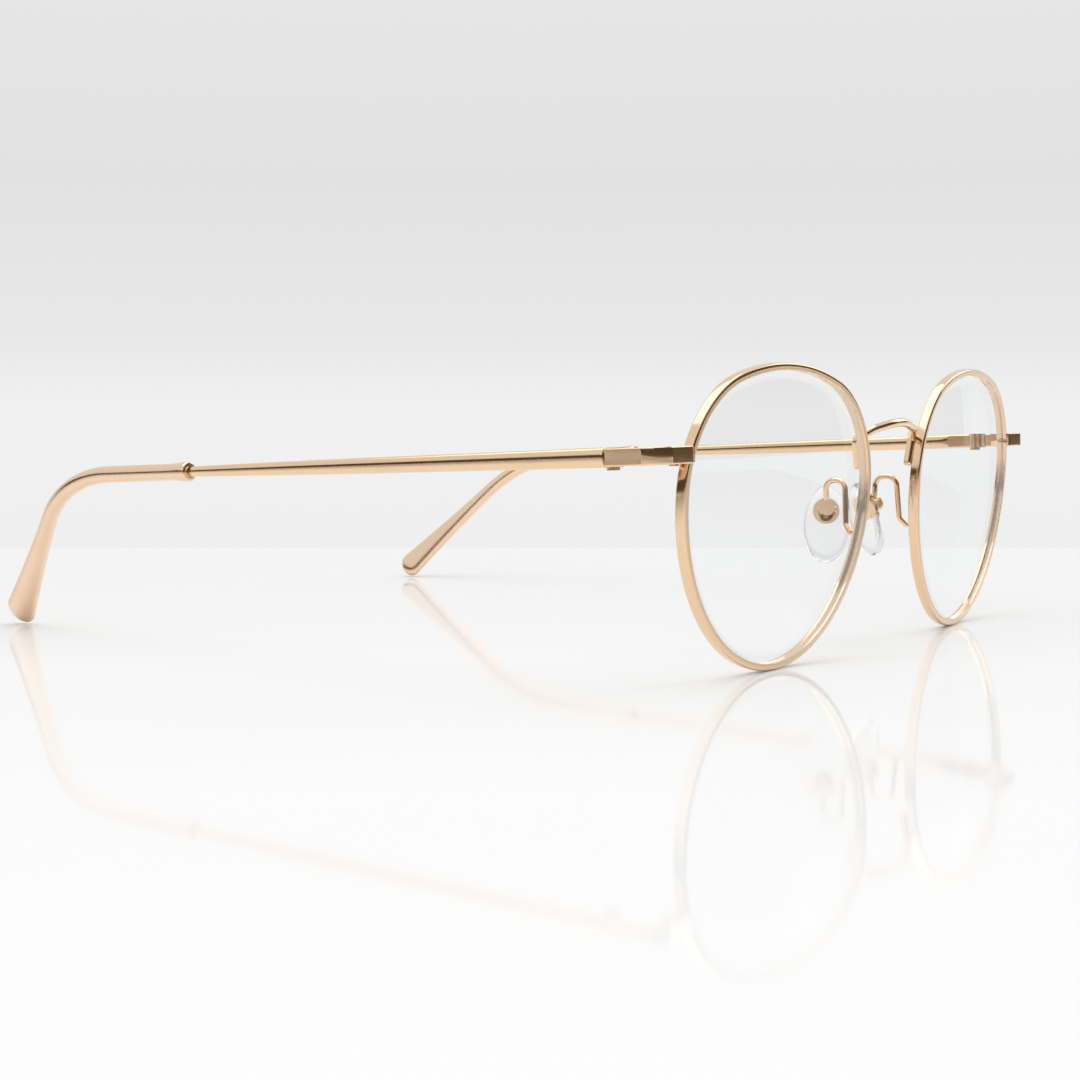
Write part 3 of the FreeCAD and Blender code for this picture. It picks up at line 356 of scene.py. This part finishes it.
def wire_rings(line, radius, count=20):
    """Round rings along a line, with softly rounded ends."""
    rings = []
    toward = (line[1] - line[0]).normalized()
    aside = toward.orthogonal().normalized()
    dome = [(0, 0.45), (0.12, 0.72), (0.35, 0.92), (0.7, 1.0)]
    stations = [(line[0] + toward * radius * along, toward, share) for along, share in dome]
    for index in range(1, len(line) - 1):
        stations.append((line[index], (line[index + 1] - line[index - 1]).normalized(), 1.0))
    final = (line[-1] - line[-2]).normalized()
    stations += [(line[-1] - final * radius * along, final, share)
                 for along, share in reversed(dome)]
    for centre, direction, share in stations:
        aside = (aside - direction * aside.dot(direction)).normalized()
        other = direction.cross(aside)
        rings.append([centre + (aside * u + other * v) * share
                      for u, v in round_section(radius, count)])
    return rings


# ------------------------------------------------------------------ the rims
def eye_line(steps=64):
    """The eye shape's middle line, all round, with the way out at each point."""
    top_radius = ((EYE_HALF - CORNER) ** 2 + BROW ** 2 - CORNER ** 2) / (2 * (BROW - CORNER))
    side_radius = (EYE_HALF ** 2 + (WIDEST - BOTTOM) ** 2 - BOTTOM ** 2) / (2 * (EYE_HALF - BOTTOM))
    joint_up = math.atan2(top_radius - BROW, EYE_HALF - CORNER)
    joint = math.atan2(BOTTOM - WIDEST, side_radius - EYE_HALF)
    arcs = ((0, BROW - top_radius, top_radius, math.pi / 2, joint_up),
            (EYE_HALF - CORNER, 0, CORNER, joint_up, 0),
            (EYE_HALF - side_radius, 0, side_radius, 0, joint),
            (0, BOTTOM - WIDEST, BOTTOM, joint, -math.pi / 2))
    half = []
    for x, z, radius, start, finish in arcs:
        for step in range(steps):
            turn = start + (finish - start) * step / steps
            out, up = math.cos(turn), math.sin(turn)
            half.append((x + radius * out, z + radius * up, out, up))
    other = [(-x, z, -u, w) for x, z, u, w in reversed(half[1:])]
    lift = WIDEST - EYE_HEIGHT / 2
    bottom = (0, -WIDEST, 0, -1)
    return [(x, z + lift, u, w) for x, z, u, w in half + [bottom] + other]


def make_rim(side, end):
    """An eye-wire with softened edges and a groove for the lens, open at the rim lock."""
    line = eye_line()
    split_at = HINGE_UP - (EYE_HEIGHT + WIRE_WIDE) / 2
    temple_side = [i for i, point in enumerate(line) if point[0] * side > EYE_HALF * 0.6]
    start = min(temple_side, key=lambda i: abs(line[i][1] - split_at))
    line = line[start:] + line[:start]
    half, wide = WIRE_DEEP / 2, WIRE_WIDE / 2
    section = rounded_section((
        (-half, -wide, 0.10), (-half, wide, 0.34), (half, wide, 0.34), (half, -wide, 0.10),
        (0.42, -wide, 0.02), (0, -wide + 0.42, 0.02), (-0.42, -wide, 0.02)))
    place = eye_place(side)
    rings = [[place @ Vector((x + u * out, deep, z + w * out)) for deep, out in section]
             for x, z, u, w in line]
    add_piece("rim_wire" + end, *skin(rings), GOLD, "front", "rim" + end, "gold_wire")


# ------------------------------------------------------------------ lenses
def make_lens(side, end):
    """A clear meniscus with a fine-ground edge."""
    line = eye_line(24)
    edge = WIRE_WIDE / 2 + 0.04
    radius_front, thick, rise = 120.0, 1.7, 3.4
    place = eye_place(side)

    def level(share, back):
        ring = []
        for x, z, u, w in line:
            px, pz = (x - u * edge) * share, (z - w * edge) * share
            ball = radius_front - thick * back
            depth = -rise + thick * back + ball - math.sqrt(ball ** 2 - px ** 2 - pz ** 2)
            ring.append(place @ Vector((px, depth, pz)))
        return ring

    shares = [0.02 + 0.98 * step / 12 for step in range(12)] + [0.996]
    rings = [level(share, 0) for share in shares]
    rings += [level(1.0, 0.12), level(1.0, 0.88)]
    rings += [level(share, 1) for share in reversed(shares)]
    glass = add_piece("lens_glass" + end, *skin(rings), LENS, "front", "lens" + end,
                      "lens_clear", crisp=False)
    glass.data.materials.append(LENS_EDGE)
    across = place.to_3x3() @ Vector((0, 1, 0))
    for polygon in glass.data.polygons:
        if abs(polygon.normal.dot(across.normalized())) < 0.4:
            polygon.material_index = 1
            polygon.use_smooth = False


# ------------------------------------------------------------------ bridge and pad arms
def nose_side_point(height, back):
    """A point just behind the left rim on its nose side, measured as the front stands."""
    centre = (EYE_HEIGHT + WIRE_WIDE) / 2
    above = height - centre - (WIDEST - EYE_HEIGHT / 2)
    reach = EYE_HALF - CORNER + math.sqrt(CORNER ** 2 - above ** 2) + 0.4
    spot = eye_place(1) @ Vector((-reach, back, height - centre))
    return (TO_ROW @ turned(LEAN, "X")).inverted() @ spot


def flip(point):
    return Vector((-point.x, point.y, point.z))


def make_bridge():
    """An arched wire whose ends bend down behind the rims as feet."""
    radius, foot_top, reach_out = 0.7, WIDEST + 8.0, 3.4
    back = WIRE_DEEP / 2 + radius - 0.105
    low = nose_side_point(foot_top - 4.6, back)
    high = nose_side_point(foot_top, back)
    shoulder = Vector((high.x * 0.72, (high.y - reach_out) / 2, foot_top + 1.33))
    crown = Vector((0, -reach_out, foot_top + 2.6))
    crown.z += 16.0 * (1 / math.cos(math.atan2(crown.z - shoulder.z, shoulder.x)) - 1)
    corners = [low, high, shoulder, crown, flip(shoulder), flip(high), flip(low)]
    line = bent_line(corners, (0.85, 3.4, 16.0, 3.4, 0.85))
    lean = TO_ROW @ turned(LEAN, "X")
    rings = [[lean @ point for point in ring] for ring in wire_rings(line, radius, count=28)]
    add_piece("bridge_wire", *skin(rings), GOLD, "front", "bridge", "gold_wire", crisp=False)


def make_pad_arm(side, end):
    """A gooseneck wire from the rim, up and over in a loop, to the pad's box."""
    radius, start = 0.45, 1.35
    back = WIRE_DEEP / 2 + radius - 0.135
    lean = turned(LEAN, "X")
    screw_up = WIDEST - 3.6
    foot = lean @ nose_side_point(screw_up - 3.2, back)
    rise = lean @ nose_side_point(screw_up - 3.2 + start, back + start)
    box_top = TO_ROW.inverted() @ (pad_place(1) @ Vector((0.425, 0, 1.0)))
    loop = screw_up + 4.7
    up = Vector((rise.x - radius, rise.y + radius, loop))
    over = Vector((box_top.x + radius, box_top.y, loop))
    bend = (over - up).length * 0.46
    corners = [foot, rise, up, over, box_top]
    if side < 0:
        corners = [flip(corner) for corner in corners]
    line = bent_line(corners, (0.9, bend, bend), spacing=0.12)
    rings = [[TO_ROW @ point for point in ring] for ring in wire_rings(line, radius)]
    add_piece("pad_gooseneck" + end, *skin(rings), GOLD, "front", "pad_arm" + end,
              "gold_wire", crisp=False)


# ------------------------------------------------------------------ end pieces
def make_end_piece(side, end):
    """A bar with eased edges, bent back from the rim, with a dished face before the seam."""
    inner_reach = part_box("end_piece" + end)
    place = hinge_place(side)
    tip_x = (place.inverted() @ Vector((inner_reach[1 if side < 0 else 0].x, 0, 0))).x
    front, seam = -8.5, -0.06
    corners = [Vector((side * BAR_OUT, seam, 0)), Vector((side * BAR_OUT, front, 0)),
               Vector((tip_x, front, 0))]
    line = bent_line(corners, (2.4,), spacing=0.08)
    run = [line[0] + (line[1] - line[0]) * step / 24 for step in range(24)] + line[1:-1]
    run += [line[-2] + (line[-1] - line[-2]) * step / 10 for step in range(1, 11)]
    half, face = BAR_THICK / 2, BAR_TALL / 2
    flat = [(half, BAR_TALL * share, 0) for share in (-0.3, -0.2, -0.1, 0, 0.1, 0.2, 0.3)]
    section = rounded_section([(-half, -face, 0.22), (half, -face, 0.3), *flat,
                               (half, face, 0.3), (-half, face, 0.22)], steps=4)
    rings = []
    for index, centre in enumerate(run):
        ahead = run[min(index + 1, len(run) - 1)] - run[max(index - 1, 0)]
        ahead.normalize()
        outward_way = Vector((-ahead.y * -side, ahead.x * -side, 0))
        ease = 0.93 if index in (0, len(run) - 1) else 1.0
        ring = []
        for out, up in section:
            dish = 0.0
            if out > half - 0.05 and centre.y > -DISH_BACK - DISH_LONG:
                share = (centre.y + DISH_BACK) / DISH_LONG
                height = up / (BAR_TALL * 0.42)
                dish = DISH_DEEP * max(0.0, 1 - share ** 2) ** 0.5 * max(0.0, 1 - height ** 2)
            ring.append(place @ (centre + outward_way * (out - dish) * ease
                                 + Vector((0, 0, up * ease))))
        rings.append(ring)
    add_piece("end_bar" + end, *skin(rings), GOLD, "front", "end_piece" + end, "gold_bar")


# ------------------------------------------------------------------ temples and tips
def make_temple(side, end):
    """An oval bar that slims towards the tip, with a flat inside for the hinge leaf."""
    place = hinge_place(side)
    rings = []
    count = 40
    for along in [0.06, 0.13] + [0.4 + (TEMPLE_LONG - 0.4) * step / 90 for step in range(91)]:
        share = min(along / TEMPLE_COUNTER, 1.0)
        late = max((along - TEMPLE_COUNTER) / (TEMPLE_LONG - TEMPLE_COUNTER), 0.0)
        tall = (2.75 - 0.35 * share - 0.8 * late ** 1.4) / 2
        thick = (1.5 - 0.05 * late) / 2
        if along < 0.1:
            tall, thick = tall - 0.06, thick - 0.06
        ring = []
        for index in range(count):
            turn = 2 * math.pi * index / count
            x = math.copysign(abs(math.cos(turn)) ** 0.9, math.cos(turn)) * thick
            z = math.copysign(abs(math.sin(turn)) ** 0.9, math.sin(turn)) * tall
            if along < LEAF_FLAT_LONG:
                x = max(x, -LEAF_FLAT_OUT) if side > 0 else min(x, LEAF_FLAT_OUT)
            ring.append(place @ Vector((side * BAR_OUT + x, along, z)))
        rings.append(ring)
    add_piece("temple_bar" + end, *skin(rings), GOLD, "temple" + end, "temple" + end,
              "gold_temple", crisp=False)


def tip_station(along):
    """Where the sleeve's middle line is, and how far it has bent, at a distance from its mouth."""
    full = math.radians(TIP_TURN)
    bent = min(max((along - TIP_LEAD) / TIP_BEND, 0), full)
    straight = max(along - TIP_LEAD - TIP_BEND * full, 0)
    y = min(along, TIP_LEAD) + TIP_BEND * math.sin(bent) + straight * math.cos(full)
    z = -TIP_BEND * (1 - math.cos(bent)) - straight * math.sin(full)
    return y + TEMPLE_LONG, z, bent


def make_tip(side, end):
    """A sleeve with a flared mouth, a round bent neck and a long flat round-ended paddle."""
    place = (hinge_place(side) @ Matrix.Translation((side * BAR_OUT, 0, 0))
             @ turned(side * TIP_ROLL, "Y"))
    bend_end = TIP_LEAD + TIP_BEND * math.radians(TIP_TURN)
    total = bend_end + TIP_TAIL
    flare_start = bend_end + 1.0
    mouth = [(0.0, 0.80), (0.0, 1.30), (0.05, 1.46), (0.16, 1.56), (0.35, 1.6), (0.9, 1.6),
             (1.3, 1.575), (1.9, 1.50), (2.6, 1.42), (3.2, 1.37), (4.0, SLEEVE)]
    neck_start = mouth[-1][0]
    stations = [(along, radius, radius) for along, radius in mouth]
    steps = 70
    rounding = 2.3
    for step in range(1, steps + 1):
        along = neck_start + (total - rounding - neck_start) * step / steps
        share = min(max((along - flare_start) / (total - rounding - flare_start), 0), 1)
        stations.append((along, SLEEVE + 0.05 * share,
                         SLEEVE + (PADDLE_WIDE - SLEEVE) * share ** 1.35))
    for degrees in (10, 20, 30, 40, 50, 60, 70, 78, 84, 89):
        turn = math.radians(degrees)
        stations.append((total - rounding + rounding * math.sin(turn),
                         1.4 * math.cos(turn) ** 0.7, PADDLE_WIDE * math.cos(turn) ** 0.85))
    rings = []
    for along, thin, wide in stations:
        y, z, bent = tip_station(along)
        up = Vector((0, math.sin(bent), math.cos(bent)))
        across = Vector((1, 0, 0))
        rings.append([place @ (Vector((0, y, z)) + across * thin * math.cos(2 * math.pi * i / 36)
                               + up * wide * math.sin(2 * math.pi * i / 36)) for i in range(36)])
    add_piece("tip_sleeve" + end, *skin(rings), GOLD_SATIN, "temple" + end,
              "temple_tip" + end, "gold_tip", crisp=False)


# ------------------------------------------------------------------ nose pads
def make_pad(side, end):
    """A clear oval cushion, crowned on the face that rests on the nose and round at the rim."""
    place = pad_place(side)
    wide, tall, drop, thick = 3.5, 6.3, 1.9, 2.0
    back = 0.70 - 1.7 - 0.4
    rings = []
    levels = ((0.10, -0.50), (0.45, -0.50), (0.80, -0.50), (0.90, -0.47), (0.96, -0.38),
              (0.99, -0.25), (1.0, -0.05), (0.99, 0.12), (0.955, 0.27), (0.90, 0.37),
              (0.80, 0.44), (0.60, 0.485), (0.35, 0.498), (0.10, 0.50))
    for share, level in levels:
        ring = []
        for index in range(48):
            turn = 2 * math.pi * index / 48
            narrow = 1 - 0.10 * math.sin(turn)
            x = side * (back - thick / 2 - level * thick)
            ring.append(place @ Vector((x, wide * share * narrow * math.cos(turn),
                                        tall * share * math.sin(turn) - drop)))
        rings.append(ring)
    pad = add_piece("pad_cushion" + end, *skin(rings), PAD, "nose_pad" + end,
                    "nose_pad" + end, "pad_silicone", crisp=False)


for side, end in SIDES:
    make_rim(side, end)
    make_lens(side, end)
    make_pad_arm(side, end)
    make_end_piece(side, end)
    make_temple(side, end)
    make_tip(side, end)
    make_pad(side, end)
make_bridge()

SPECIAL = {"hinge_screw": STEEL, "closing_screw": STEEL, "pad_screw": STEEL,
           "lens": LENS, "nose_pad": PAD, "temple_tip": GOLD_SATIN}
for name, thing in NODES.items():
    kind = name.replace("_left", "").replace("_right", "")
    dress(thing, SPECIAL.get(kind, GOLD))

# ------------------------------------------------------------------ table, backdrop and light
scene = bpy.context.scene
scene.view_settings.view_transform = "Standard"
VIEW_TURN = math.radians(-56.04)
VIEW_RISE = math.radians(4.12)
VIEW_FAR = 0.34975
AIM = Vector((0, -0.00298, 0.01455))
outward = Vector((math.sin(VIEW_TURN) * math.cos(VIEW_RISE),
                  -math.cos(VIEW_TURN) * math.cos(VIEW_RISE), math.sin(VIEW_RISE)))
camera = bpy.data.objects.new("camera", bpy.data.cameras.new("camera"))
scene.collection.objects.link(camera)
camera.location = AIM + outward * VIEW_FAR
camera.rotation_euler = (AIM - camera.location).to_track_quat("-Z", "Y").to_euler()
camera.data.lens = 64.52
camera.data.clip_start = 0.01
camera.data.clip_end = 20
scene.camera = camera

TABLE_BEHIND = 0.172      # from the aim to the table's far edge
TABLE_REACH = 2           # how far it runs the other ways
away = Vector((-outward.x, -outward.y, 0)).normalized()
across = Vector((away.y, -away.x, 0))


def flat_piece(name, corners, material):
    mesh = bpy.data.meshes.new(name)
    mesh.from_pydata([tuple(c) for c in corners], [], [tuple(range(len(corners)))])
    thing = bpy.data.objects.new(name, mesh)
    scene.collection.objects.link(thing)
    mesh.materials.append(material)
    return thing


def table_top(name):
    finish = Finish(name)
    place = finish.node("ShaderNodeTexCoord", output=OBJECT_PLACE)
    cloud = finish.node("ShaderNodeTexNoise", Vector=place, Scale=30.0, Detail=2.0)
    board = finish.node("ShaderNodeBsdfPrincipled", Base_Color=(0.87, 0.87, 0.87, 1),
                        Roughness=0.045 + 0.02 * cloud, IOR=1.13)
    return finish.surface(board)


drop = Vector((0, 0, -0.00002))
far = away * TABLE_BEHIND
near, aside = -away * TABLE_REACH, across * TABLE_REACH
flat_piece("table_top", [far - aside + drop, near - aside + drop, near + aside + drop,
                         far + aside + drop], table_top("glossy_white_table"))

world = bpy.data.worlds.new("pale_studio")
scene.world = world
studio = Nodes(world, "ShaderNodeOutputWorld")
split = studio.node("ShaderNodeSeparateXYZ", output=2, Vector=studio.node("ShaderNodeTexCoord"))
SHADES = ((0.0, 0.86), (0.19, 0.88), (0.26, 0.81), (0.42, 0.76), (0.6, 0.79), (1.0, 0.85))
shade = studio.node("ShaderNodeValToRGB",
                    {"stops": [(place, (grey, grey, grey, 1)) for place, grey in SHADES]},
                    i0=split * 2.0 + 0.2)
studio.surface(studio.node("ShaderNodeBackground", Color=shade))


def soft_light(name, place, size, power, aim=Vector((0, 0, 0.02))):
    lamp = bpy.data.lights.new(name, "AREA")
    lamp.shape = "RECTANGLE"
    lamp.size, lamp.size_y = size
    lamp.energy = power
    thing = bpy.data.objects.new(name, lamp)
    scene.collection.objects.link(thing)
    thing.location = place
    thing.rotation_euler = (aim - thing.location).to_track_quat("-Z", "Y").to_euler()
    return thing


soft_light("top_softbox", Vector((0.05, 0.1, 0.9)), (1.1, 0.9), 3.5)
soft_light("side_softbox", away * 0.5 + across * 0.8 + Vector((0, 0, 0.5)), (0.5, 0.5), 1.2)


def dark_flag(name, low, high, turn_from, turn_to, shade, radius=1.5, steps=24):
    """A dark curtain round the camera's side of the table, seen only in reflections."""
    finish = Finish(name)
    cloth = finish.node("ShaderNodeEmission", Color=(1.0, 0.64, 0.38, 1), Strength=shade)
    finish.surface(cloth)
    rows = []
    for index in range(steps + 1):
        turn = math.radians(turn_from + (turn_to - turn_from) * index / steps)
        direction = -away * math.cos(turn) + across * math.sin(turn)
        foot = direction * radius
        rows.append((foot + Vector((0, 0, low)), foot + Vector((0, 0, high))))
    mesh = bpy.data.meshes.new(name)
    mesh.from_pydata([tuple(p) for row in rows for p in row], [],
                     [(2 * i, 2 * i + 1, 2 * i + 3, 2 * i + 2) for i in range(steps)])
    thing = bpy.data.objects.new(name, mesh)
    scene.collection.objects.link(thing)
    mesh.materials.append(finish.material)
    thing.visible_camera = False
    thing.visible_diffuse = False
    thing.visible_shadow = False
    thing.visible_transmission = False


dark_flag("low_curtain", 0.02, 0.36, -115, 0, 0.08)
dark_flag("tall_curtain", 0.02, 1.25, 0, 128, 0.09)
